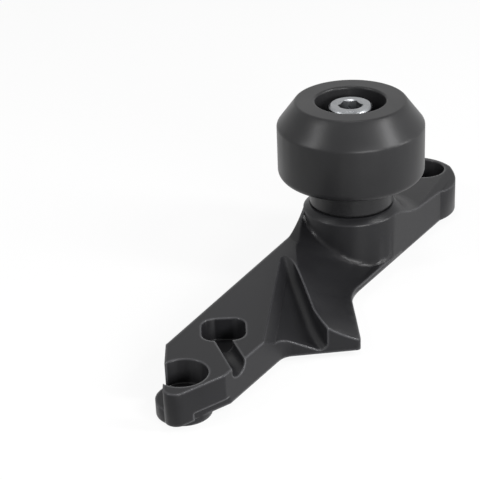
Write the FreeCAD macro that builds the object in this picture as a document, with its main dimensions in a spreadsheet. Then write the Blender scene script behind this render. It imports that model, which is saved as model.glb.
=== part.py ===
import FreeCAD, Part
import math
import os
import Sketcher

# Motorcycle frame slider: a milled aluminium bracket that carries a moulded crash puck.
# Frame: the origin is the centre of the foot pad's seat face, on the axis of its bore.
# +X runs along the bar to the far lobe, +Z runs up along the bolt and the bores.

doc = FreeCAD.newDocument("frame_slider")
sheet = doc.addObject("Spreadsheet::Sheet", "Sizes")

SIZES = [
    # foot end
    ("foot_pad_radius", 9.2, "pad that seats on the frame"),
    ("foot_pad_height", 4.9, "pad, from its seat face to its step"),
    ("foot_drop", 2.2, "pad's seat face below the bar's underside"),
    ("bore_radius", 5.25, "clearance bore for an M10 bolt"),
    ("head_pocket_radius", 8.5, "counterbore for an M10 cap head"),
    ("seat_thickness", 5.0, "metal left under each cap head"),
    ("flat_offset", 5.9, "clearance flat, from the foot bore's axis"),
    ("flat_angle", 31.4, "clearance flat, turned from the bar"),
    ("nose_offset", 10.0, "nose facet, from the foot bore's axis"),
    ("nose_angle", 22.3, "nose facet, turned from the bar"),
    ("nose_round", 4.0, "vertical corner between flat and nose"),
    ("relief_start", 2.9, "where the step under the facet begins, along the facet"),
    ("relief_run", 20.0, "length of that step"),
    # bar
    ("bar_thickness", 12.0, "bar between the foot and the boss"),
    ("bar_shift", 0.6, "bar's centre line, from the foot bore"),
    ("half_width_foot", 13.4, "half of the bar's width at the foot bore"),
    ("half_width_boss", 16.8, "half of the bar's width at the boss"),
    # boss
    ("boss_spacing", 120.0, "foot bore to boss axis"),
    ("boss_radius", 18.0, "boss that carries the puck"),
    ("boss_height", 21.0, "boss, from the bar's underside"),
    ("boss_chamfer", 2.0, "chamfer round the boss's top"),
    ("flare_radius", 26.0, "foot of the boss's concave flare"),
    ("flare_curve", 15.0, "radius of the flare's curve"),
    # far arm
    ("far_spacing", 172.6, "foot bore to far bore, along the bar"),
    ("far_shift", 3.0, "far bore, off the foot bore's line"),
    ("far_thickness", 13.6, "arm between the boss and the far lobe"),
    ("lobe_inset", 7.3, "lobe's centre, short of the far bore"),
    ("lobe_radius", 17.3, "rounded far end"),
    ("lobe_shift", 1.5, "lobe's centre, off the foot bore's line"),
    ("far_flare_curve", 12.0, "radius of the flare's curve on the arm's side"),
    ("bevel_along", 137.0, "where the arm's front bevel begins"),
    ("bevel_turn", 8.3, "bevel's upper edge, turned from the arm's front"),
    ("bevel_slope", 20.0, "bevel, sloped down to the front"),
    # web beside the boss
    ("tip_along", 56.3, "web's tip, from the foot bore along the bar"),
    ("tip_out", 34.9, "web's tip, from the foot bore across the bar"),
    ("tip_round", 1.5, "vertical corner of the tip"),
    ("web_start", 40.2, "web's near corner with the bar"),
    ("web_start_round", 6.0, "hollow of that corner"),
    ("web_end", 86.4, "web's far corner with the bar"),
    ("web_end_round", 20.0, "hollow of that corner"),
    # milled wall, ramp and scoop of the web
    ("wall_angle", 41.5, "milled wall, turned from the bar"),
    ("wall_along", 73.4, "a point of the wall, along the bar"),
    ("wall_across", 2.2, "the same point, across the bar"),
    ("wall_bend", 20.0, "straight run of the wall before it bends"),
    ("wall_curve", 54.0, "radius of the bend towards the tip"),
    ("wall_fillet", 2.5, "hollow at the foot of the wall"),
    ("ramp_angle", 24.4, "edge between ramp and bar top, turned from the bar"),
    ("ramp_along", 27.6, "where that edge meets the bar's front, along the bar"),
    ("ramp_across", 13.8, "the same point, across the bar"),
    ("ramp_step", 4.0, "drop at the ramp's steep upper lip"),
    ("ramp_step_run", 3.0, "run of that lip"),
    ("ramp_run", 17.0, "run of the ramp below its lip"),
    ("wall_turn", 35.0, "how far the bend turns"),
    # scoop: stations along the wall; across and height are seen along the wall
    ("ledge_height", 1.9, "ledge in front of the boss, above the underside"),
    ("ledge_station", 15.0, "where that ledge begins, along the wall"),
    ("ledge_across", 30.5, "where that ledge begins, across the wall"),
    ("scoop_start", 8.0, "where every section begins, on the bar's side of the wall"),
    ("scoop_rise", 8.0, "start of every section, above its crest"),
    ("scoop_tip_station", -38.0, "station beyond the tip"),
    ("scoop_tip_crest_across", 2.6, "crest of that section"),
    ("scoop_tip_crest_height", 9.75, "crest of that section"),
    ("scoop_tip_end_across", 19.5, "foot of its hollow"),
    ("scoop_tip_end_height", 1.9, "foot of its hollow"),
    ("scoop_tip_radius", 46.0, "radius of its hollow"),
    ("scoop_waist_station", -19.0, "station half way to the tip"),
    ("scoop_waist_crest_across", 0.0, "crest of that section"),
    ("scoop_waist_crest_height", 10.0, "crest of that section"),
    ("scoop_waist_end_across", 23.3, "foot of its hollow"),
    ("scoop_waist_end_height", 1.9, "foot of its hollow"),
    ("scoop_waist_radius", 50.0, "radius of its hollow"),
    ("scoop_middle_station", -2.0, "station middle of the web"),
    ("scoop_middle_crest_across", 0.0, "crest of that section"),
    ("scoop_middle_crest_height", 12.0, "crest of that section"),
    ("scoop_middle_end_across", 20.2, "foot of its hollow"),
    ("scoop_middle_end_height", 1.9, "foot of its hollow"),
    ("scoop_middle_radius", 26.0, "radius of its hollow"),
    ("scoop_upper_station", 10.0, "station above the middle"),
    ("scoop_upper_crest_across", 1.0, "crest of that section"),
    ("scoop_upper_crest_height", 12.0, "crest of that section"),
    ("scoop_upper_end_across", 24.9, "foot of its hollow"),
    ("scoop_upper_end_height", 1.9, "foot of its hollow"),
    ("scoop_upper_radius", 40.0, "radius of its hollow"),
    ("scoop_shelf_station", 20.0, "station before the boss"),
    ("scoop_shelf_crest_across", 2.6, "crest of that section"),
    ("scoop_shelf_crest_height", 12.0, "crest of that section"),
    ("scoop_shelf_end_across", 31.5, "foot of its hollow"),
    ("scoop_shelf_end_height", 1.9, "foot of its hollow"),
    ("scoop_shelf_radius", 240.0, "radius of its hollow"),
    ("scoop_saddle_station", 25.0, "station at the boss's edge"),
    ("scoop_saddle_crest_across", 3.9, "crest of that section"),
    ("scoop_saddle_crest_height", 12.0, "crest of that section"),
    ("scoop_saddle_end_across", 37.0, "foot of its hollow"),
    ("scoop_saddle_end_height", 7.5, "foot of its hollow"),
    ("scoop_saddle_radius", 150.0, "radius of its hollow"),
    ("scoop_crown_station", 30.0, "station on the flare"),
    ("scoop_crown_crest_across", 6.0, "crest of that section"),
    ("scoop_crown_crest_height", 13.6, "crest of that section"),
    ("scoop_crown_end_across", 30.0, "foot of its hollow"),
    ("scoop_crown_end_height", 13.2, "foot of its hollow"),
    ("scoop_crown_radius", 90.0, "radius of its hollow"),
    ("scoop_back_station", 36.0, "station beside the boss"),
    ("scoop_back_crest_across", 8.2, "crest of that section"),
    ("scoop_back_crest_height", 16.4, "crest of that section"),
    ("scoop_back_end_across", 20.0, "foot of its hollow"),
    ("scoop_back_end_height", 12.5, "foot of its hollow"),
    ("scoop_back_radius", 12.0, "radius of its hollow"),
    ("scoop_end_station", 41.0, "station where the cutter leaves"),
    ("scoop_end_crest_across", 9.0, "crest of that section"),
    ("scoop_end_crest_height", 24.0, "crest of that section"),
    ("scoop_end_end_across", 24.0, "foot of its hollow"),
    ("scoop_end_end_height", 20.0, "foot of its hollow"),
    ("scoop_end_radius", 20.0, "radius of its hollow"),
    # pocket and groove in the bar's top
    ("pocket_along", 29.5, "middle of the pocket, along the bar"),
    ("pocket_across", 2.7, "middle of the pocket, across the bar"),
    ("pocket_size", 14.8, "side of the pocket"),
    ("pocket_round", 4.5, "corner of the pocket"),
    ("pocket_depth", 8.5, "depth of the pocket"),
    ("pocket_angle", 32.3, "pocket, turned from the bar"),
    ("groove_width", 5.6, "groove from the pocket to the bar's front"),
    ("groove_depth", 4.4, "depth of the groove"),
    ("groove_inset", 2.9, "groove's axis, beside the pocket's middle"),
    ("groove_angle", 49.0, "groove, turned from the bar"),
    # puck
    ("puck_radius", 27.1, "widest part of the puck"),
    ("puck_top_radius", 20.3, "flat top of the puck"),
    ("puck_taper", 9.1, "height of the conical shoulder"),
    ("puck_height", 29.1, "puck without its neck"),
    ("puck_round", 3.0, "lower edge of the puck"),
    ("neck_radius", 15.6, "neck that stands on the boss"),
    ("neck_height", 11.3, "neck between the boss and the puck"),
    ("neck_round", 1.2, "lower edge of the neck"),
    ("well_radius", 12.9, "well that sinks the bolt's head"),
    ("well_round", 0.8, "rim of the well"),
    ("head_sink", 1.75, "bolt's head below the puck's top"),
    # bolt and washer
    ("bolt_radius", 5.0, "M10 shank"),
    ("bolt_length", 45.0, "bolt under its head"),
    ("bolt_head_radius", 8.0, "cap head"),
    ("bolt_head_height", 10.0, "cap head"),
    ("bolt_head_chamfer", 0.8, "edge of the cap head"),
    ("bolt_end_chamfer", 1.0, "end of the shank"),
    ("hex_across", 8.0, "hexagon socket across its flats"),
    ("hex_depth", 5.0, "hexagon socket"),
    ("hex_lead", 0.6, "conical lead-in of the socket"),
    ("hex_lead_grip", 0.1, "how far the lead-in's foot stays inside the flats"),
    ("hex_lead_flare", 0.2, "how far its rim runs beyond the corners"),
    ("washer_radius", 12.0, "washer under the head"),
    ("washer_thickness", 2.0, "washer under the head"),
    ("bolt_clearance", 0.25, "gap round the shank in puck and washer"),
]

row = 1
for alias, size, note in SIZES:
    sheet.set("A%d" % row, alias)
    sheet.set("B%d" % row, str(size))
    sheet.set("C%d" % row, note)
    sheet.setAlias("B%d" % row, alias)
    row += 1
doc.recompute()


def value(expression):
    return float(sheet.evalExpression(expression))


def S(text):
    """Turns the words in braces into references to the sheet."""
    return text.replace("{", "Sizes.").replace("}", "")


def bind(item, path, text):
    item.setExpression(path, S(text))


# Derived places, each written once from the sheet's sizes.
BAR_SLOPE = "(({half_width_boss} - {half_width_foot}) / {boss_spacing})"
FRONT = "({bar_shift} - {half_width_foot} - %s * " % BAR_SLOPE
BACK = "({bar_shift} + {half_width_foot} + %s * " % BAR_SLOPE
BOSS_Y = "({bar_shift} - {half_width_boss} + {boss_radius})"
BAR_TOP = "({foot_drop} + {bar_thickness})"
FAR_TOP = "({foot_drop} + {far_thickness})"
BOSS_TOP = "({foot_drop} + {boss_height})"
PUCK_FOOT = "(%s + {neck_height})" % BOSS_TOP
PUCK_TOP = "(%s + {puck_height})" % PUCK_FOOT
HEAD_TOP = "(%s - {head_sink})" % PUCK_TOP
HEAD_SEAT = "(%s - {bolt_head_height})" % HEAD_TOP
WELL_FLOOR = "(%s - {washer_thickness})" % HEAD_SEAT
# A height that clears everything beside the boss.
ABOVE = "(2 * {boss_height})"


def front_at(x):
    return FRONT + "(%s))" % x


def back_at(x):
    return BACK + "(%s))" % x


def add_arc(sketch, first, centre, last):
    """Adds the shorter arc; returns its number and which of its two ends lies at first and at last."""
    one = first - centre
    two = last - centre
    forward = one.x * two.y - one.y * two.x > 0
    start = one if forward else two
    begin = math.atan2(start.y, start.x)
    circle = Part.Circle(centre, FreeCAD.Vector(0, 0, 1), one.Length)
    arc = sketch.addGeometry(Part.ArcOfCircle(circle, begin, begin + one.getAngle(two)), False)
    return (arc, 1, 2) if forward else (arc, 2, 1)


def add_radius(sketch, arc, text):
    number = sketch.addConstraint(Sketcher.Constraint("Radius", arc, value(S(text))))
    bind(sketch, "Constraints[%d]" % number, text)


def join(sketch, one, one_end, two, two_end):
    sketch.addConstraint(Sketcher.Constraint("Coincident", one, one_end, two, two_end))


def length_of(ax, ay, bx, by):
    return "sqrt(((%s) - (%s))^2 + ((%s) - (%s))^2)" % (bx, ax, by, ay)


def tangent_point(corner, other, reach):
    """The point at a reach from a corner towards another one, as two expressions."""
    length = length_of(corner[0], corner[1], other[0], other[1])
    return ["(%s) + ((%s) - (%s)) * (%s) / %s" % (c, o, c, reach, length) for c, o in zip(corner[:2], other[:2])]


def profile(name, corners, owner=None):
    """A closed sketch through the corners (x, y, radius); every end of a line or arc is bound to the sheet."""
    sketch = owner.newObject("Sketcher::SketchObject", name) if owner \
        else doc.addObject("Sketcher::SketchObject", name)
    ends = []
    for i, here in enumerate(corners):
        before = corners[i - 1]
        after = corners[(i + 1) % len(corners)]
        if here[2] is None:
            ends.append((here[:2], here[:2]))
            continue
        dot = "(((%s) - (%s)) * ((%s) - (%s)) + ((%s) - (%s)) * ((%s) - (%s)))" % (
            before[0], here[0], after[0], here[0], before[1], here[1], after[1], here[1])
        turn = "%s / (%s * %s)" % (dot, length_of(here[0], here[1], before[0], before[1]),
                                   length_of(here[0], here[1], after[0], after[1]))
        reach = "(%s) * sqrt((1 + %s) / (1 - %s))" % (here[2], turn, turn)
        ends.append((tangent_point(here, before, reach), tangent_point(here, after, reach)))
    places = [[FreeCAD.Vector(value(S(x)), value(S(y)), 0) for x, y in pair] for pair in ends]
    lines = []
    for i in range(len(corners)):
        lines.append(sketch.addGeometry(Part.LineSegment(places[i - 1][1], places[i][0]), False))
    for i, here in enumerate(corners):
        before = lines[i]
        after = lines[(i + 1) % len(corners)]
        if here[2] is None:
            join(sketch, before, 2, after, 1)
            fix(sketch, after, 1, here[0], here[1])
            continue
        first, last = places[i]
        corner = FreeCAD.Vector(value(S(here[0])), value(S(here[1])), 0)
        size = value(S(here[2]))
        inward = ((first - corner).normalize() + (last - corner).normalize()).normalize()
        centre = corner + inward * math.sqrt((first - corner).Length ** 2 + size ** 2)
        arc, starts, finishes = add_arc(sketch, first, centre, last)
        join(sketch, before, 2, arc, starts)
        join(sketch, after, 1, arc, finishes)
        fix(sketch, before, 2, ends[i][0][0], ends[i][0][1])
        fix(sketch, after, 1, ends[i][1][0], ends[i][1][1])
        add_radius(sketch, arc, here[2])
    return sketch


def fix(sketch, item, end, x, y):
    """Ties one point of the sketch to a place that follows the sheet."""
    for kind, text in (("DistanceX", x), ("DistanceY", y)):
        number = sketch.addConstraint(Sketcher.Constraint(kind, -1, 1, item, end, value(S(text))))
        bind(sketch, "Constraints[%d]" % number, text)


def lift(item, height):
    bind(item, "Placement.Base.z", height)


def prism(name, sketch, length):
    solid = doc.addObject("Part::Extrusion", name)
    solid.Base = sketch
    solid.DirMode = "Custom"
    solid.Dir = FreeCAD.Vector(0, 0, 1)
    solid.Solid = True
    bind(solid, "LengthFwd", length)
    return solid


def rod(name, radius, height, x, y, z):
    solid = doc.addObject("Part::Cylinder", name)
    bind(solid, "Radius", radius)
    bind(solid, "Height", height)
    bind(solid, "Placement.Base.x", x)
    bind(solid, "Placement.Base.y", y)
    bind(solid, "Placement.Base.z", z)
    return solid


def fuse(name, parts):
    solid = doc.addObject("Part::MultiFuse", name)
    solid.Shapes = parts
    return solid


def common(name, parts):
    solid = doc.addObject("Part::MultiCommon", name)
    solid.Shapes = parts
    return solid


def cut(name, base, tool):
    solid = doc.addObject("Part::Cut", name)
    solid.Base = base
    solid.Tool = tool
    return solid


# Bracket: plan outline of everything on the foot's side of the boss.
FLAT_RUN_BACK = "(({bar_shift} + {half_width_foot} - {flat_offset} * cos({flat_angle})" \
    " - %s * {flat_offset} * sin({flat_angle})) / (sin({flat_angle}) - %s * cos({flat_angle})))" \
    % (BAR_SLOPE, BAR_SLOPE)
flat_back_x = "(-{flat_offset} * sin({flat_angle}) + %s * cos({flat_angle}))" % FLAT_RUN_BACK
flat_back_y = "({flat_offset} * cos({flat_angle}) + %s * sin({flat_angle}))" % FLAT_RUN_BACK
# The nose facet is the line at nose_offset whose outward normal points at 270 - nose_angle degrees.
NOSE_TURN = "({flat_angle} + {nose_angle})"
nose_run = "(-({flat_offset} * cos(%s) + {nose_offset}) / sin(%s))" % (NOSE_TURN, NOSE_TURN)
nose_x = "(-{flat_offset} * sin({flat_angle}) + %s * cos({flat_angle}))" % nose_run
nose_y = "({flat_offset} * cos({flat_angle}) + %s * sin({flat_angle}))" % nose_run
NOSE_RUN_FRONT = "(({bar_shift} - {half_width_foot} + {nose_offset} * cos({nose_angle})" \
    " + %s * {nose_offset} * sin({nose_angle})) / (-sin({nose_angle}) + %s * cos({nose_angle})))" \
    % (BAR_SLOPE, BAR_SLOPE)
front_x = "(-{nose_offset} * sin({nose_angle}) + %s * cos({nose_angle}))" % NOSE_RUN_FRONT
front_y = "(-{nose_offset} * cos({nose_angle}) - %s * sin({nose_angle}))" % NOSE_RUN_FRONT

near_outline = profile("near_outline", [
    (flat_back_x, flat_back_y, None),
    (nose_x, nose_y, "{nose_round}"),
    (front_x, front_y, None),
    ("{web_start}", front_at("{web_start}"), "{web_start_round}"),
    ("{tip_along}", "-{tip_out}", "{tip_round}"),
    ("{web_end}", front_at("{web_end}"), "{web_end_round}"),
    ("{boss_spacing}", front_at("{boss_spacing}"), None),
    ("{boss_spacing}", back_at("{boss_spacing}"), None),
])
lift(near_outline, "{foot_drop}")
near_prism = prism("near_prism", near_outline, "{boss_height}")

# Blank of the near side: the bar's slab and the boss's concave flare, inside the outline.
near_slab = doc.addObject("Part::Box", "near_slab")
bind(near_slab, "Length", "{boss_spacing} + {far_spacing}")
bind(near_slab, "Width", "{boss_spacing}")
bind(near_slab, "Height", "{bar_thickness}")
bind(near_slab, "Placement.Base.x", "-{boss_spacing}")
bind(near_slab, "Placement.Base.y", "-{boss_spacing} / 2")
bind(near_slab, "Placement.Base.z", "{foot_drop}")

FLARE_TOP = "({boss_height} - {boss_chamfer})"


def flare(name, foot_radius, curve, floor_height):
    """A turned skirt whose concave side runs from the boss's chamfer down to the bar or the arm."""
    sketch = doc.addObject("Sketcher::SketchObject", name + "_profile")
    top = FreeCAD.Vector(value("Sizes.boss_radius"), value(S(FLARE_TOP)), 0)
    low = FreeCAD.Vector(value(S(foot_radius)), value(S(floor_height)), 0)
    chord = low - top
    outward = FreeCAD.Vector(-chord.y, chord.x, 0).normalize()
    centre = (top + low) * 0.5 + outward * math.sqrt(value(S(curve)) ** 2 - (chord.Length / 2) ** 2)
    foot = FreeCAD.Vector(low.x, 0, 0)
    axis_low = FreeCAD.Vector(0, 0, 0)
    axis_top = FreeCAD.Vector(0, top.y, 0)
    arc, upper, lower = add_arc(sketch, top, centre, low)
    side = sketch.addGeometry(Part.LineSegment(low, foot), False)
    floor = sketch.addGeometry(Part.LineSegment(foot, axis_low), False)
    spine = sketch.addGeometry(Part.LineSegment(axis_low, axis_top), False)
    roof = sketch.addGeometry(Part.LineSegment(axis_top, top), False)
    for first, one, second, two in ((arc, lower, side, 1), (side, 2, floor, 1), (floor, 2, spine, 1),
                                    (spine, 2, roof, 1), (roof, 2, arc, upper)):
        join(sketch, first, one, second, two)
    fix(sketch, arc, upper, "{boss_radius}", FLARE_TOP)
    fix(sketch, arc, lower, foot_radius, floor_height)
    fix(sketch, floor, 1, foot_radius, "0")
    fix(sketch, floor, 2, "0", "0")
    fix(sketch, spine, 2, "0", FLARE_TOP)
    add_radius(sketch, arc, curve)
    sketch.Placement = FreeCAD.Placement(FreeCAD.Vector(0, 0, 0), FreeCAD.Rotation(FreeCAD.Vector(1, 0, 0), 90))
    bind(sketch, "Placement.Base.x", "{boss_spacing}")
    bind(sketch, "Placement.Base.y", BOSS_Y)
    bind(sketch, "Placement.Base.z", "{foot_drop}")
    solid = doc.addObject("Part::Revolution", name)
    solid.Source = sketch
    solid.Axis = FreeCAD.Vector(0, 0, 1)
    bind(solid, "Base.x", "{boss_spacing}")
    bind(solid, "Base.y", BOSS_Y)
    solid.Angle = 360
    solid.Solid = True
    return solid


skirt = flare("skirt", "{flare_radius}", "{flare_curve}", "{bar_thickness}")
near_blank = common("near_blank", [fuse("near_mass", [near_slab, skirt]), near_prism])

# Scoop: a sculpted surface through stations along the milled wall. At each station it passes over
# the wall's crest, falls in a straight run, and then turns in a hollow arc to the ledge.
WALL_FRAME = "placement(vector({wall_along} + cos({wall_angle}) * (%s); " \
    "-{wall_across} + sin({wall_angle}) * (%s); {foot_drop}); " \
    "rotation(vector(0; 0; 1); {wall_angle} - 90) * rotation(vector(1; 0; 0); 90))"
WALL_FRAME_FLAT = "placement(vector({wall_along}; -{wall_across}; {foot_drop} + {ledge_height});" \
    " rotation(vector(0; 0; 1); {wall_angle} - 90))" \
    " * placement(vector({ledge_across}; {ledge_station}; 0); rotation(vector(0; 0; 1); 0))"
SCOOP_BOX = "{tip_out} * 2"


def scoop_section(name):
    """Closed section above the scoop's surface: up to the wall's crest, then down in a hollow arc."""
    station, crest_across, crest_height, end_across, end_height, radius = [
        "{scoop_%s_%s}" % (name, word)
        for word in ("station", "crest_across", "crest_height", "end_across", "end_height", "radius")]
    corners = [
        (end_across, end_height),
        (SCOOP_BOX, end_height),
        (SCOOP_BOX, ABOVE),
        ("-{scoop_start}", ABOVE),
        ("-{scoop_start}", "%s + {scoop_rise}" % crest_height),
        (crest_across, crest_height),
    ]
    sketch = doc.addObject("Sketcher::SketchObject", "scoop_" + name)
    places = [FreeCAD.Vector(value(S(x)), value(S(y)), 0) for x, y in corners]
    last = len(corners) - 1
    for i in range(last):
        sketch.addGeometry(Part.LineSegment(places[i], places[i + 1]), False)
        fix(sketch, i, 1, corners[i][0], corners[i][1])
    for i in range(last - 1):
        join(sketch, i, 2, i + 1, 1)
    fall = places[0] - places[last]
    upward = FreeCAD.Vector(-fall.y, fall.x, 0).normalize()
    centre = (places[0] + places[last]) * 0.5 + upward * math.sqrt(value(S(radius)) ** 2 - (fall.Length / 2) ** 2)
    arc, upper, lower = add_arc(sketch, places[last], centre, places[0])
    join(sketch, last - 1, 2, arc, upper)
    join(sketch, 0, 1, arc, lower)
    fix(sketch, last - 1, 2, crest_across, crest_height)
    add_radius(sketch, arc, radius)
    bind(sketch, "Placement", WALL_FRAME % (station, station))
    return sketch


scoop = doc.addObject("Part::Loft", "scoop")
scoop.Sections = [scoop_section(name) for name in (
    "tip", "waist", "middle", "upper", "shelf", "saddle", "crown", "back", "end")]
scoop.Solid = True
scoop.Ruled = True

# Milled wall: everything on the bar's side of it, straight beside the boss, then bent to the tip.
wall_plan = doc.addObject("Sketcher::SketchObject", "wall_plan")
WALL_BEHIND = "{boss_spacing}"
arc_end_x = "(-{wall_bend} - {wall_curve} * sin({wall_turn}))"
arc_end_y = "({wall_curve} * (cos({wall_turn}) - 1))"
wall_corners = [
    ("-{wall_bend}", "0"),
    ("{tip_out} * 2", "0"),
    ("{tip_out} * 2", WALL_BEHIND),
    ("-" + WALL_BEHIND, WALL_BEHIND),
    ("-" + WALL_BEHIND, arc_end_y),
    (arc_end_x, arc_end_y),
]
wall_places = [FreeCAD.Vector(value(S(x)), value(S(y)), 0) for x, y in wall_corners]
for i, (one, two) in enumerate(zip(wall_places[:-1], wall_places[1:])):
    wall_plan.addGeometry(Part.LineSegment(one, two), False)
    fix(wall_plan, i, 1, wall_corners[i][0], wall_corners[i][1])
for i in range(len(wall_corners) - 2):
    join(wall_plan, i, 2, i + 1, 1)
wall_last = len(wall_corners) - 2
wall_centre = wall_places[0] - FreeCAD.Vector(0, value("Sizes.wall_curve"), 0)
wall_arc, bend_end, bend_start = add_arc(wall_plan, wall_places[-1], wall_centre, wall_places[0])
join(wall_plan, wall_last, 2, wall_arc, bend_end)
join(wall_plan, 0, 1, wall_arc, bend_start)
fix(wall_plan, wall_last, 2, arc_end_x, arc_end_y)
add_radius(wall_plan, wall_arc, "{wall_curve}")
bind(wall_plan, "Placement", "placement(vector({wall_along}; -{wall_across}; {foot_drop});"
     " rotation(vector(0; 0; 1); {wall_angle}))")
wall_block = prism("wall_block", wall_plan, ABOVE)

# Ramp: a steep lip and a long slope, drawn across the edge that it shares with the bar's top.
ramp_profile = profile("ramp_profile", [
    ("0", "{bar_thickness}", None),
    ("{ramp_step_run}", "{bar_thickness} - {ramp_step}", None),
    ("{ramp_step_run} + {ramp_run}", "0", None),
    ("{ramp_step_run} + {ramp_run} + {tip_out}", "0", None),
    ("{ramp_step_run} + {ramp_run} + {tip_out}", ABOVE, None),
    ("0", ABOVE, None),
])
bind(ramp_profile, "Placement", "placement(vector({ramp_along} - cos({ramp_angle}) * {tip_out};"
     " -{ramp_across} - sin({ramp_angle}) * {tip_out}; {foot_drop});"
     " rotation(vector(0; 0; 1); {ramp_angle} - 90) * rotation(vector(1; 0; 0); 90))")
ramp_block = doc.addObject("Part::Extrusion", "ramp_block")
ramp_block.Base = ramp_profile
ramp_block.DirMode = "Normal"
ramp_block.Solid = True
ramp_block.Reversed = True
bind(ramp_block, "LengthFwd", "{boss_spacing} + {far_spacing}")
doc.recompute()
valley_raw = common("valley_raw", [ramp_block, wall_block])
doc.recompute()
# The wall's foot is every edge of the wall that climbs along the ramp.
TOUCH = 0.01
to_wall = wall_plan.Placement.inverse()
foot_edges = []
for number, edge in enumerate(valley_raw.Shape.Edges, 1):
    one = to_wall.multVec(edge.valueAt(edge.FirstParameter))
    two = to_wall.multVec(edge.valueAt(edge.LastParameter))
    climbs = abs(one.z - two.z) > TOUCH and abs(one.x - two.x) > TOUCH
    level = [abs(math.hypot(p.x - wall_centre.x, p.y - wall_centre.y) - value("Sizes.wall_curve")) < TOUCH
             if p.x < wall_places[0].x else abs(p.y) < TOUCH for p in (one, two)]
    if climbs and all(level):
        size = value("Sizes.wall_fillet")
        foot_edges.append((number, size, size))

valley = doc.addObject("Part::Fillet", "valley")
valley.Base = valley_raw
valley.Edges = foot_edges

# Shallow step under the nose's facet, flush with the pad's round side.
relief = doc.addObject("Part::Box", "relief")
bind(relief, "Length", "{relief_run}")
bind(relief, "Width", "{foot_pad_radius}")
bind(relief, "Height", "{foot_pad_height}")
bind(relief, "Placement", "placement(vector(0; 0; 0); rotation(vector(0; 0; 1); -{nose_angle}))"
     " * placement(vector(-{relief_start}; -2 * {foot_pad_radius}; 0); rotation(vector(0; 0; 1); 0))")

# Level ledge in front of the boss, where the scoop runs out.
ledge = doc.addObject("Part::Box", "ledge")
bind(ledge, "Length", "{tip_out}")
bind(ledge, "Width", "{boss_radius} * 2")
bind(ledge, "Height", "{boss_height}")
bind(ledge, "Placement", WALL_FRAME_FLAT)

near_side = cut("near_side", cut("near_scooped", near_blank, scoop), fuse("near_cuts", [valley, relief, ledge]))

# Far side: its own slab and the other half of the flare, inside the far outline, and the lobe.
far_outline = profile("far_outline", [
    ("{boss_spacing}", front_at("{boss_spacing}"), None),
    ("{far_spacing} - {lobe_inset}", front_at("{far_spacing} - {lobe_inset}"), None),
    ("{far_spacing} - {lobe_inset}", "{lobe_radius} - {lobe_shift}", None),
    ("{boss_spacing}", "%s + {boss_radius}" % BOSS_Y, None),
])
lift(far_outline, "{foot_drop}")
far_prism = fuse("far_prism", [
    prism("far_bar", far_outline, "{boss_height}"),
    rod("lobe", "{lobe_radius}", "{boss_height}", "{far_spacing} - {lobe_inset}", "-{lobe_shift}", "{foot_drop}"),
])
far_slab = doc.addObject("Part::Box", "far_slab")
bind(far_slab, "Length", "{far_spacing}")
bind(far_slab, "Width", "{boss_spacing}")
bind(far_slab, "Height", "{far_thickness}")
bind(far_slab, "Placement.Base.x", "{boss_spacing}")
bind(far_slab, "Placement.Base.y", "-{boss_spacing} / 2")
bind(far_slab, "Placement.Base.z", "{foot_drop}")
# On the arm's side the curve ends level with the arm's top.
FAR_FOOT = "({boss_radius} + sqrt({far_flare_curve}^2 - ({far_flare_curve} - %s + {far_thickness})^2))" % FLARE_TOP
far_skirt = flare("far_skirt", FAR_FOOT, "{far_flare_curve}", "{far_thickness}")
far_side = common("far_side", [fuse("far_mass", [far_slab, far_skirt]), far_prism])

# Bevel on the arm's front: it starts at nothing beside the boss and widens to the far lobe.
FRONT_TILT = "-atan(%s)" % BAR_SLOPE
far_bevel = doc.addObject("Part::Box", "far_bevel")
bind(far_bevel, "Length", "{boss_spacing}")
bind(far_bevel, "Width", "{boss_radius} * 2")
bind(far_bevel, "Height", "{boss_radius}")
bind(far_bevel, "Placement", "placement(vector({bevel_along}; %s; %s);"
     " rotation(vector(0; 0; 1); %s + {bevel_turn} * 1 deg) * rotation(vector(1; 0; 0); {bevel_slope}))"
     " * placement(vector(0; -{boss_radius} * 2; 0); rotation(vector(0; 0; 1); 0))"
     % (front_at("{bevel_along}"), FAR_TOP, FRONT_TILT))

# Boss and foot pad.
boss_rod = rod("boss_rod", "{boss_radius}", "{boss_height}", "{boss_spacing}", BOSS_Y, "{foot_drop}")
boss_crown = doc.addObject("Part::Cone", "boss_crown")
bind(boss_crown, "Radius1", "{boss_radius} + {boss_height} - {boss_chamfer}")
bind(boss_crown, "Radius2", "{boss_radius} - {boss_chamfer}")
bind(boss_crown, "Height", "{boss_height}")
bind(boss_crown, "Placement.Base.x", "{boss_spacing}")
bind(boss_crown, "Placement.Base.y", BOSS_Y)
bind(boss_crown, "Placement.Base.z", "{foot_drop}")
boss = common("boss", [boss_rod, boss_crown])
foot_pad = rod("foot_pad", "{foot_pad_radius}", "{foot_pad_height}", "0", "0", "0")

bracket_mass = fuse("bracket_mass", [near_side, far_side, boss, foot_pad])

# Bores, counterbores, the boss's threaded hole, the pocket and its groove.
pocket_plan = profile("pocket_plan", [
    ("-{pocket_size} / 2", "-{pocket_size} / 2", "{pocket_round}"),
    ("{pocket_size} / 2", "-{pocket_size} / 2", "{pocket_round}"),
    ("{pocket_size} / 2", "{pocket_size} / 2", "{pocket_round}"),
    ("-{pocket_size} / 2", "{pocket_size} / 2", "{pocket_round}"),
])
bind(pocket_plan, "Placement", "placement(vector({pocket_along}; {pocket_across}; %s - {pocket_depth});"
     " rotation(vector(0; 0; 1); {pocket_angle}))" % BAR_TOP)
pocket = prism("pocket", pocket_plan, "2 * {pocket_depth}")
GROOVE_START = "vector({pocket_along} - {groove_inset}; {pocket_across}; %s - {groove_depth} + {groove_width} / 2)" \
    % BAR_TOP
groove_rod = doc.addObject("Part::Cylinder", "groove_rod")
bind(groove_rod, "Radius", "{groove_width} / 2")
bind(groove_rod, "Height", "{half_width_boss} + {pocket_size}")
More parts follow.
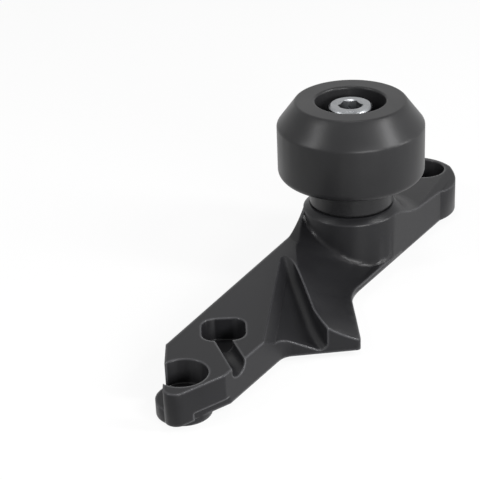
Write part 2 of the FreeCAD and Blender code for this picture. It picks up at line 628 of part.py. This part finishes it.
bind(groove_rod, "Placement", "placement(%s; rotation(vector(0; 0; 1); {groove_angle} - 180)"
     " * rotation(vector(0; 1; 0); 90))" % GROOVE_START)
groove_slot = doc.addObject("Part::Box", "groove_slot")
bind(groove_slot, "Length", "{half_width_boss} + {pocket_size}")
bind(groove_slot, "Width", "{groove_width}")
bind(groove_slot, "Height", "{boss_height}")
bind(groove_slot, "Placement", "placement(%s; rotation(vector(0; 0; 1); {groove_angle} - 180))"
     " * placement(vector(0; -{groove_width} / 2; 0); rotation(vector(0; 0; 1); 0))" % GROOVE_START)

openings = fuse("openings", [
    rod("foot_bore", "{bore_radius}", "{boss_height}", "0", "0", "-{foot_drop}"),
    rod("foot_counterbore", "{head_pocket_radius}", "{boss_height}", "0", "0", "{seat_thickness}"),
    rod("far_bore", "{bore_radius}", "{boss_height}", "{far_spacing}", "-{far_shift}", "0"),
    rod("far_counterbore", "{head_pocket_radius}", "{boss_height}", "{far_spacing}", "-{far_shift}",
        "{foot_drop} + {seat_thickness}"),
    rod("boss_thread", "{bolt_radius}", ABOVE, "{boss_spacing}", BOSS_Y, "0"),
    pocket,
    groove_rod,
    groove_slot,
    far_bevel,
])
bracket = cut("bracket", bracket_mass, openings)
bracket.Label = "bracket"


def body(name):
    solid = doc.addObject("PartDesign::Body", name)
    solid.Label = name
    bind(solid, "Placement.Base.x", "{boss_spacing}")
    bind(solid, "Placement.Base.y", BOSS_Y)
    return solid


def plane(owner, role):
    for item in owner.Origin.OriginFeatures:
        if item.Role == role:
            return item


def turned(owner, name, corners):
    """A solid of revolution about the body's vertical axis, from a profile on its XZ plane."""
    sketch = profile(name + "_profile", corners, owner)
    sketch.AttachmentSupport = [(plane(owner, "XZ_Plane"), "")]
    sketch.MapMode = "FlatFace"
    solid = owner.newObject("PartDesign::Revolution", name)
    solid.Profile = sketch
    solid.ReferenceAxis = (sketch, ["V_Axis"])
    solid.Angle = 360
    return solid


# Puck: turned profile with its neck, conical shoulder and the well for the bolt's head.
BORE = "{bolt_radius} + {bolt_clearance}"
puck = body("slider_puck")
turned(puck, "puck_turned", [
    (BORE, BOSS_TOP, None),
    ("{neck_radius}", BOSS_TOP, "{neck_round}"),
    ("{neck_radius}", PUCK_FOOT, None),
    ("{puck_radius}", PUCK_FOOT, "{puck_round}"),
    ("{puck_radius}", "%s - {puck_taper}" % PUCK_TOP, None),
    ("{puck_top_radius}", PUCK_TOP, None),
    ("{well_radius}", PUCK_TOP, "{well_round}"),
    ("{well_radius}", WELL_FLOOR, None),
    (BORE, WELL_FLOOR, None),
])

# Washer under the bolt's head.
washer = body("bolt_washer")
turned(washer, "washer_turned", [
    (BORE, WELL_FLOOR, None),
    ("{washer_radius}", WELL_FLOOR, None),
    ("{washer_radius}", HEAD_SEAT, None),
    (BORE, HEAD_SEAT, None),
])

# Cap screw with its hexagon socket and the conical lead-in.
bolt = body("puck_bolt")
turned(bolt, "bolt_turned", [
    ("0", "%s - {bolt_length}" % HEAD_SEAT, None),
    ("{bolt_radius} - {bolt_end_chamfer}", "%s - {bolt_length}" % HEAD_SEAT, None),
    ("{bolt_radius}", "%s - {bolt_length} + {bolt_end_chamfer}" % HEAD_SEAT, None),
    ("{bolt_radius}", HEAD_SEAT, None),
    ("{bolt_head_radius}", HEAD_SEAT, None),
    ("{bolt_head_radius}", "%s - {bolt_head_chamfer}" % HEAD_TOP, None),
    ("{bolt_head_radius} - {bolt_head_chamfer}", HEAD_TOP, None),
    ("0", HEAD_TOP, None),
])
socket_plan = bolt.newObject("Sketcher::SketchObject", "socket_plan")
socket_plan.AttachmentSupport = [(plane(bolt, "XY_Plane"), "")]
socket_plan.MapMode = "FlatFace"
bind(socket_plan, "AttachmentOffset.Base.z", HEAD_TOP)
HEX_R = "{hex_across} / sqrt(3)"
HEX_SIDES = 6
hex_turns = [360 // HEX_SIDES * i for i in range(HEX_SIDES)]
hex_corners = [FreeCAD.Vector(value(S(HEX_R)) * math.cos(math.radians(turn)),
                              value(S(HEX_R)) * math.sin(math.radians(turn)), 0) for turn in hex_turns]
for i in range(HEX_SIDES):
    socket_plan.addGeometry(Part.LineSegment(hex_corners[i], hex_corners[(i + 1) % HEX_SIDES]), False)
for i, turn in enumerate(hex_turns):
    fix(socket_plan, i, 1, "%s * cos(%d)" % (HEX_R, turn), "%s * sin(%d)" % (HEX_R, turn))
    join(socket_plan, i, 2, (i + 1) % HEX_SIDES, 1)
doc.recompute()
socket = bolt.newObject("PartDesign::Pocket", "socket")
socket.Profile = socket_plan
socket.Type = "Length"
bind(socket, "Length", "{hex_depth}")
lead_profile = profile("lead_profile", [
    ("0", "%s - {hex_lead}" % HEAD_TOP, None),
    ("{hex_across} / 2 - {hex_lead_grip}", "%s - {hex_lead}" % HEAD_TOP, None),
    ("%s + {hex_lead_flare}" % HEX_R, HEAD_TOP, None),
    ("0", HEAD_TOP, None),
], bolt)
lead_profile.AttachmentSupport = [(plane(bolt, "XZ_Plane"), "")]
lead_profile.MapMode = "FlatFace"
lead = bolt.newObject("PartDesign::Groove", "socket_lead")
lead.Profile = lead_profile
lead.ReferenceAxis = (lead_profile, ["V_Axis"])
lead.Angle = 360
doc.recompute()

NODES = [("bracket", bracket), ("slider_puck", puck), ("bolt_washer", washer), ("puck_bolt", bolt)]
for item in doc.Objects:
    if "Invalid" in item.State or "Error" in item.State:
        raise RuntimeError("%s is %s" % (item.Name, item.State))
os.makedirs("parts", exist_ok=True)
for name, item in NODES:
    shape = item.Shape
    if shape.isNull() or not shape.isValid():
        raise RuntimeError(name + " has no valid shape")
    shape.exportStep("parts/%s.step" % name)
    print(name, round(shape.Volume, 1))
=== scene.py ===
import math

import bpy
from mathutils import Matrix, Vector

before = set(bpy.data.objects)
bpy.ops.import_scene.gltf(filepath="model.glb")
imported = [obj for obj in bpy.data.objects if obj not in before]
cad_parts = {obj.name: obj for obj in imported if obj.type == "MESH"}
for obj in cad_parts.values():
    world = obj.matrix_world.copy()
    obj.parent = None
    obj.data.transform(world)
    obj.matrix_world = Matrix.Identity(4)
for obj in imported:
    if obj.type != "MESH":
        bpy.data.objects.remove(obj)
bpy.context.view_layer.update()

# Bracket: one piece of aluminium, milled all over, its edges broken, then bead blasted and
# anodised black. Screws through its two counterbored bores hold it to the motorcycle.
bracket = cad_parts["bracket"]
SEAM = 0.000002
SHARP = math.radians(32)


def linear(code):
    """An sRGB hex colour as the linear colour that a socket takes."""
    levels = [int(code[i:i + 2], 16) / 255 for i in (1, 3, 5)]
    return [v / 12.92 if v <= 0.04045 else ((v + 0.055) / 1.055) ** 2.4 for v in levels] + [1.0]


def add(tree, kind, inputs=(), **settings):
    """Adds a node; an input is given as a value, or as the socket that feeds it."""
    made = tree.nodes.new(kind)
    for name, value in settings.items():
        setattr(made, name, value)
    for name, value in dict(inputs).items():
        if isinstance(value, bpy.types.NodeSocket):
            tree.links.new(value, made.inputs[name])
        else:
            made.inputs[name].default_value = value
    return made


def finish_of(name):
    """A new material without any nodes in it, and its node tree."""
    made = bpy.data.materials.new(name)
    made.use_nodes = True
    made.node_tree.nodes.clear()
    return made, made.node_tree


def coat(piece, material):
    """Gives a piece its finish, in the slots that it has already, where it has any."""
    if piece.material_slots:
        for slot in piece.material_slots:
            slot.material = material
    else:
        piece.data.materials.append(material)


def break_edges(piece, width, segments):
    """Joins the mesh at its seams, then rounds the sharp edges as a file or a tumbler does."""
    weld = piece.modifiers.new("weld", "WELD")
    weld.merge_threshold = SEAM
    edge = piece.modifiers.new("broken_edges", "BEVEL")
    edge.width = width
    edge.segments = segments
    edge.limit_method = "ANGLE"
    edge.angle_limit = SHARP
    edge.use_clamp_overlap = True
    edge.harden_normals = True


# Black anodised aluminium: a dark dyed oxide, satin, so its faces only glow where they turn
# to a light. The blasting leaves a fine even grit; 0.2 mm is too fine to show, so 0.5 mm.
GRIT = 0.0005
GRIT_DEPTH = 0.00004
BLOTCH = 0.022
anodised, tree = finish_of("black_anodised_aluminium")
place = add(tree, "ShaderNodeTexCoord")
grit = add(tree, "ShaderNodeTexNoise", {
    "Vector": place.outputs["Object"], "Scale": 1 / GRIT, "Detail": 3.0})
blotch = add(tree, "ShaderNodeTexNoise", {
    "Vector": place.outputs["Object"], "Scale": 1 / BLOTCH, "Detail": 4.0})
base_colour = add(tree, "ShaderNodeMix", {
    "Factor": blotch.outputs["Fac"], "A": linear("#141415"), "B": linear("#1e1e20")}, data_type="RGBA")
satin = add(tree, "ShaderNodeMapRange", {
    "Value": blotch.outputs["Fac"], "From Min": 0.3, "From Max": 0.7, "To Min": 0.36, "To Max": 0.44})

# The blasting rounds the edges and the oxide grows thin on them, so they are glossier, and they are
# painted paler: partly thin oxide, partly a painted highlight along every edge. The occlusion is taken
# inside the metal: 1 on a flat face, less beside an edge.
EDGE = 0.0009
inside = add(tree, "ShaderNodeAmbientOcclusion", {"Distance": EDGE},
             samples=8, inside=True, only_local=True)
edge_wear_and_highlight = add(tree, "ShaderNodeMapRange", {
    "Value": inside.outputs["AO"], "From Min": 0.97, "From Max": 0.62})
# Painted highlight: every edge is mixed towards a paler grey, whichever way it faces the lights; partly
# worn thin oxide.
base_colour = add(tree, "ShaderNodeMix", {
    "Factor": edge_wear_and_highlight.outputs["Result"], "A": base_colour.outputs["Result"], "B": linear("#414143")},
    data_type="RGBA")

# Where the milled scoop runs out against the round boss, the ridge between them was rounded
# off further. It lies close around the boss, under its chamfer, on the side of the scoop.
BOSS_AXIS = (0.120, 0.0018, 0.0)
BOSS_RADIUS = 0.018
RIDGE_REACH = BOSS_RADIUS + 0.0025
RIDGE_TOP = 0.0195
RIDGE_SIDE = 0.006
RIDGE_ROUND = 0.0032
from_axis = add(tree, "ShaderNodeVectorMath", {0: place.outputs["Object"], 1: BOSS_AXIS},
                operation="SUBTRACT")
level = add(tree, "ShaderNodeVectorMath", {0: from_axis.outputs["Vector"], 1: (1, 1, 0)},
            operation="MULTIPLY")
reach = add(tree, "ShaderNodeVectorMath", {0: level.outputs["Vector"]}, operation="LENGTH")
beside = add(tree, "ShaderNodeMath", {0: reach.outputs["Value"], 1: RIDGE_REACH},
             operation="LESS_THAN")
height = add(tree, "ShaderNodeSeparateXYZ", {"Vector": place.outputs["Object"]})
under = add(tree, "ShaderNodeMath", {0: height.outputs["Z"], 1: RIDGE_TOP}, operation="LESS_THAN")
along = add(tree, "ShaderNodeSeparateXYZ", {"Vector": from_axis.outputs["Vector"]})
before = add(tree, "ShaderNodeMath", {0: along.outputs["X"], 1: RIDGE_SIDE}, operation="LESS_THAN")
ridge = add(tree, "ShaderNodeMath", {0: beside.outputs["Value"], 1: under.outputs["Value"]},
            operation="MULTIPLY")
ridge = add(tree, "ShaderNodeMath", {0: ridge.outputs["Value"], 1: before.outputs["Value"]},
            operation="MULTIPLY")
width = add(tree, "ShaderNodeMapRange", {
    "Value": ridge.outputs["Value"], "To Min": EDGE, "To Max": RIDGE_ROUND})
rounded = add(tree, "ShaderNodeBevel", {"Radius": width.outputs["Result"]}, samples=12)

# A rounded edge is rubbed smooth: it is where the rounded normal turns from the face's own.
RUBBED = 0.19
face = add(tree, "ShaderNodeNewGeometry")
turn = add(tree, "ShaderNodeVectorMath", {0: rounded.outputs["Normal"], 1: face.outputs["Normal"]},
           operation="DOT_PRODUCT")
turned = add(tree, "ShaderNodeMapRange", {
    "Value": turn.outputs["Value"], "From Min": 0.999, "From Max": 0.96})
smooth = add(tree, "ShaderNodeMath", {0: edge_wear_and_highlight.outputs["Result"], 1: turned.outputs["Result"]},
             operation="MAXIMUM")
satin = add(tree, "ShaderNodeMix", {
    "Factor": smooth.outputs["Value"], "A": satin.outputs["Result"], "B": RUBBED})
pitting = add(tree, "ShaderNodeBump", {
    "Height": grit.outputs["Fac"], "Strength": 0.25, "Distance": GRIT_DEPTH,
    "Normal": rounded.outputs["Normal"]})
oxide = add(tree, "ShaderNodeBsdfPrincipled", {
    "Base Color": base_colour.outputs["Result"], "Roughness": satin.outputs["Result"],
    "Specular IOR Level": 0.17, "Normal": pitting.outputs["Normal"]})
add(tree, "ShaderNodeOutputMaterial", {"Surface": oxide.outputs["BSDF"]})
coat(bracket, anodised)
break_edges(bracket, width=0.0004, segments=2)

# Puck: turned from black acetal, with its neck and the well for the screw in one piece. It
# wears away against the road, so it is plain plastic with no coating.
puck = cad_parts["slider_puck"]

# Turned acetal: a waxy satin black, with a faint ring for each turn of the lathe. Its pitch
# of 0.1 mm and the plastic's finer grain are too fine to show, so they are 0.6 and 0.7 mm.
LATHE_PITCH = 0.0006
LATHE_DEPTH = 0.00004
GRAIN = 0.0007
CLOUD = 0.018
acetal, tree = finish_of("black_turned_acetal")
place = add(tree, "ShaderNodeTexCoord")
from_axis = add(tree, "ShaderNodeVectorMath", {0: place.outputs["Object"], 1: BOSS_AXIS},
                operation="SUBTRACT")
level = add(tree, "ShaderNodeVectorMath", {0: from_axis.outputs["Vector"], 1: (1, 1, 0)},
            operation="MULTIPLY")
radius = add(tree, "ShaderNodeVectorMath", {0: level.outputs["Vector"]}, operation="LENGTH")
height = add(tree, "ShaderNodeSeparateXYZ", {"Vector": place.outputs["Object"]})
travel = add(tree, "ShaderNodeMath", {0: radius.outputs["Value"], 1: height.outputs["Z"]},
             operation="ADD")
turns = add(tree, "ShaderNodeMath", {0: travel.outputs["Value"], 1: 2 * math.pi / LATHE_PITCH},
            operation="MULTIPLY")
rings = add(tree, "ShaderNodeMath", {0: turns.outputs["Value"]}, operation="SINE")
grain = add(tree, "ShaderNodeTexNoise", {
    "Vector": place.outputs["Object"], "Scale": 1 / GRAIN, "Detail": 2.0})
cloud = add(tree, "ShaderNodeTexNoise", {
    "Vector": place.outputs["Object"], "Scale": 1 / CLOUD, "Detail": 3.0})
surface = add(tree, "ShaderNodeMath", {0: rings.outputs["Value"], 1: 0.12, 2: grain.outputs["Fac"]},
              operation="MULTIPLY_ADD")
rounded = add(tree, "ShaderNodeBevel", {"Radius": EDGE}, samples=8)
turning = add(tree, "ShaderNodeBump", {
    "Height": surface.outputs["Value"], "Strength": 0.12, "Distance": LATHE_DEPTH,
    "Normal": rounded.outputs["Normal"]})
black = add(tree, "ShaderNodeMix", {
    "Factor": cloud.outputs["Fac"], "A": linear("#19191a"), "B": linear("#202021")}, data_type="RGBA")
sheen = add(tree, "ShaderNodeMapRange", {
    "Value": cloud.outputs["Fac"], "From Min": 0.3, "From Max": 0.7, "To Min": 0.34, "To Max": 0.42})
plastic = add(tree, "ShaderNodeBsdfPrincipled", {
    "Base Color": black.outputs["Result"], "Roughness": sheen.outputs["Result"],
    "Specular IOR Level": 0.22, "Normal": turning.outputs["Normal"]})
add(tree, "ShaderNodeOutputMaterial", {"Surface": plastic.outputs["BSDF"]})
coat(puck, acetal)
break_edges(puck, width=0.0005, segments=3)

# Puck screw: an M10 socket cap screw of hardened steel, zinc plated. It sits at the bottom
# of the puck's well and clamps the puck to the boss.
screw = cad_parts["puck_bolt"]

# Bright zinc plating: a pale, clear gloss that is slightly cloudy, in patches of 4 mm.
HAZE = 0.004
zinc, tree = finish_of("bright_zinc_plated_steel")
place = add(tree, "ShaderNodeTexCoord")
haze = add(tree, "ShaderNodeTexNoise", {
    "Vector": place.outputs["Object"], "Scale": 1 / HAZE, "Detail": 3.0})
tint = add(tree, "ShaderNodeMix", {
    "Factor": haze.outputs["Fac"], "A": linear("#747679"), "B": linear("#a6a8aa")}, data_type="RGBA")
gloss = add(tree, "ShaderNodeMapRange", {
    "Value": haze.outputs["Fac"], "From Min": 0.3, "From Max": 0.7, "To Min": 0.24, "To Max": 0.36})
plate = add(tree, "ShaderNodeBsdfPrincipled", {
    "Base Color": tint.outputs["Result"], "Roughness": gloss.outputs["Result"], "Metallic": 1.0})
add(tree, "ShaderNodeOutputMaterial", {"Surface": plate.outputs["BSDF"]})
coat(screw, zinc)
break_edges(screw, width=0.00025, segments=2)

# Washer: stamped from sheet steel and zinc plated. It lies under the screw's head, so that
# the head doesn't sink into the plastic.
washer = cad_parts["bolt_washer"]

# Dulled zinc plating: a darker, flatter grey than the screw's, with stains of 3 mm.
STAIN = 0.003
dull_zinc, tree = finish_of("dull_zinc_plated_washer")
place = add(tree, "ShaderNodeTexCoord")
stain = add(tree, "ShaderNodeTexNoise", {
    "Vector": place.outputs["Object"], "Scale": 1 / STAIN, "Detail": 4.0})
tint = add(tree, "ShaderNodeMix", {
    "Factor": stain.outputs["Fac"], "A": linear("#5f6062"), "B": linear("#7c7d7f")}, data_type="RGBA")
plate = add(tree, "ShaderNodeBsdfPrincipled", {
    "Base Color": tint.outputs["Result"], "Roughness": 0.42, "Metallic": 1.0})
add(tree, "ShaderNodeOutputMaterial", {"Surface": plate.outputs["BSDF"]})
coat(washer, dull_zinc)
break_edges(washer, width=0.0002, segments=2)

# Floor: a large pale sheet. A camera, a gloss or glass sees it as white, and the part of it
# that stays paint keeps a soft shadow of the object.
FLOOR_SIZE = 6
WHITE_SHARE = 0.88


def direct_look(tree):
    """A node that is 1 for camera, glossy and transmission rays, and 0 for all others."""
    ray = add(tree, "ShaderNodeLightPath")
    seen = add(tree, "ShaderNodeMath", {
        0: ray.outputs["Is Camera Ray"], 1: ray.outputs["Is Glossy Ray"]}, operation="MAXIMUM")
    return add(tree, "ShaderNodeMath", {
        0: seen.outputs["Value"], 1: ray.outputs["Is Transmission Ray"]}, operation="MAXIMUM")


bpy.ops.mesh.primitive_plane_add(size=FLOOR_SIZE, location=(0.1, 0, 0))
floor = bpy.context.object
floor.name = "floor"
pale, tree = finish_of("pale_floor")
seen = direct_look(tree)
share = add(tree, "ShaderNodeMath", {0: seen.outputs["Value"], 1: WHITE_SHARE}, operation="MULTIPLY")
paint = add(tree, "ShaderNodeBsdfDiffuse", {"Color": linear("#e8e8e8")})
white = add(tree, "ShaderNodeEmission", {"Color": linear("#ffffff"), "Strength": 1.0})
both = add(tree, "ShaderNodeMixShader", {
    0: share.outputs["Value"], 1: paint.outputs["BSDF"], 2: white.outputs["Emission"]})
add(tree, "ShaderNodeOutputMaterial", {"Surface": both.outputs["Shader"]})
coat(floor, pale)

# Room: as white as the floor to the rays that look at it, and a low even light to all the
# others, so that the soft boxes do most of the lighting.
ROOM_LIGHT = 0.25
world = bpy.data.worlds.new("studio")
bpy.context.scene.world = world
world.use_nodes = True
tree = world.node_tree
tree.nodes.clear()
seen = direct_look(tree)
room = add(tree, "ShaderNodeMapRange", {
    "Value": seen.outputs["Value"], "To Min": ROOM_LIGHT, "To Max": 1.0})
sky = add(tree, "ShaderNodeBackground", {
    "Color": linear("#ffffff"), "Strength": room.outputs["Result"]})
add(tree, "ShaderNodeOutputWorld", {"Surface": sky.outputs["Background"]})

# Camera: a long lens that looks down along the bar, as the photograph was taken. The angles
# and the place were solved from the puck's rings, the boss and the bores.
EYE = (-0.3476, -0.2437, 0.2754)
AIM = math.atan2(0.534, 0.845)
DOWN = math.radians(26.87)
ROLL = math.radians(2.59)
ahead = Vector((math.cos(AIM) * math.cos(DOWN), math.sin(AIM) * math.cos(DOWN), -math.sin(DOWN)))
level = Vector((math.sin(AIM), -math.cos(AIM), 0))
below = ahead.cross(level)
right = level * math.cos(ROLL) + below * math.sin(ROLL)
up = level * math.sin(ROLL) - below * math.cos(ROLL)
pose = Matrix((right, up, -ahead)).transposed().to_4x4()
pose.translation = EYE
lens = bpy.data.cameras.new("camera")
lens.lens = 117.0
lens.sensor_width = 36.0
lens.sensor_fit = "HORIZONTAL"
lens.clip_start = 0.01
camera = bpy.data.objects.new("camera", lens)
camera.matrix_world = pose
bpy.context.scene.collection.objects.link(camera)
bpy.context.scene.camera = camera

# Studio lights: a narrow soft box on each side, a wide one in front, a small one high up
# behind, and one low on the right, so that the right-hand faces are the lighter ones.
MIDDLE = Vector((0.095, 0, 0.030))
LAMP_DISTANCE = 0.75


def softbox(name, turn, rise, size, watts):
    """A lamp that faces the object; turn is in degrees from the camera, to the right."""
    lamp = bpy.data.lights.new(name, "AREA")
    lamp.shape = "RECTANGLE"
    lamp.size, lamp.size_y = size
    lamp.energy = watts
    made = bpy.data.objects.new(name, lamp)
    angle = AIM + math.pi + math.radians(turn)
    slope = math.radians(rise)
    way = Vector((math.cos(angle) * math.cos(slope), math.sin(angle) * math.cos(slope), math.sin(slope)))
    made.location = MIDDLE + way * LAMP_DISTANCE
    made.rotation_euler = (-way).to_track_quat("-Z", "Y").to_euler()
    bpy.context.scene.collection.objects.link(made)


softbox("box_left", turn=-72, rise=36, size=(0.12, 0.32), watts=2.2)
softbox("box_right", turn=70, rise=36, size=(0.12, 0.32), watts=3.7)
softbox("box_front", turn=22, rise=18, size=(0.40, 0.14), watts=4.8)
softbox("box_low", turn=78, rise=10, size=(0.30, 0.20), watts=2.2)
softbox("box_top", turn=180, rise=82, size=(0.16, 0.16), watts=1.2)

bpy.context.scene.view_settings.view_transform = "Standard"
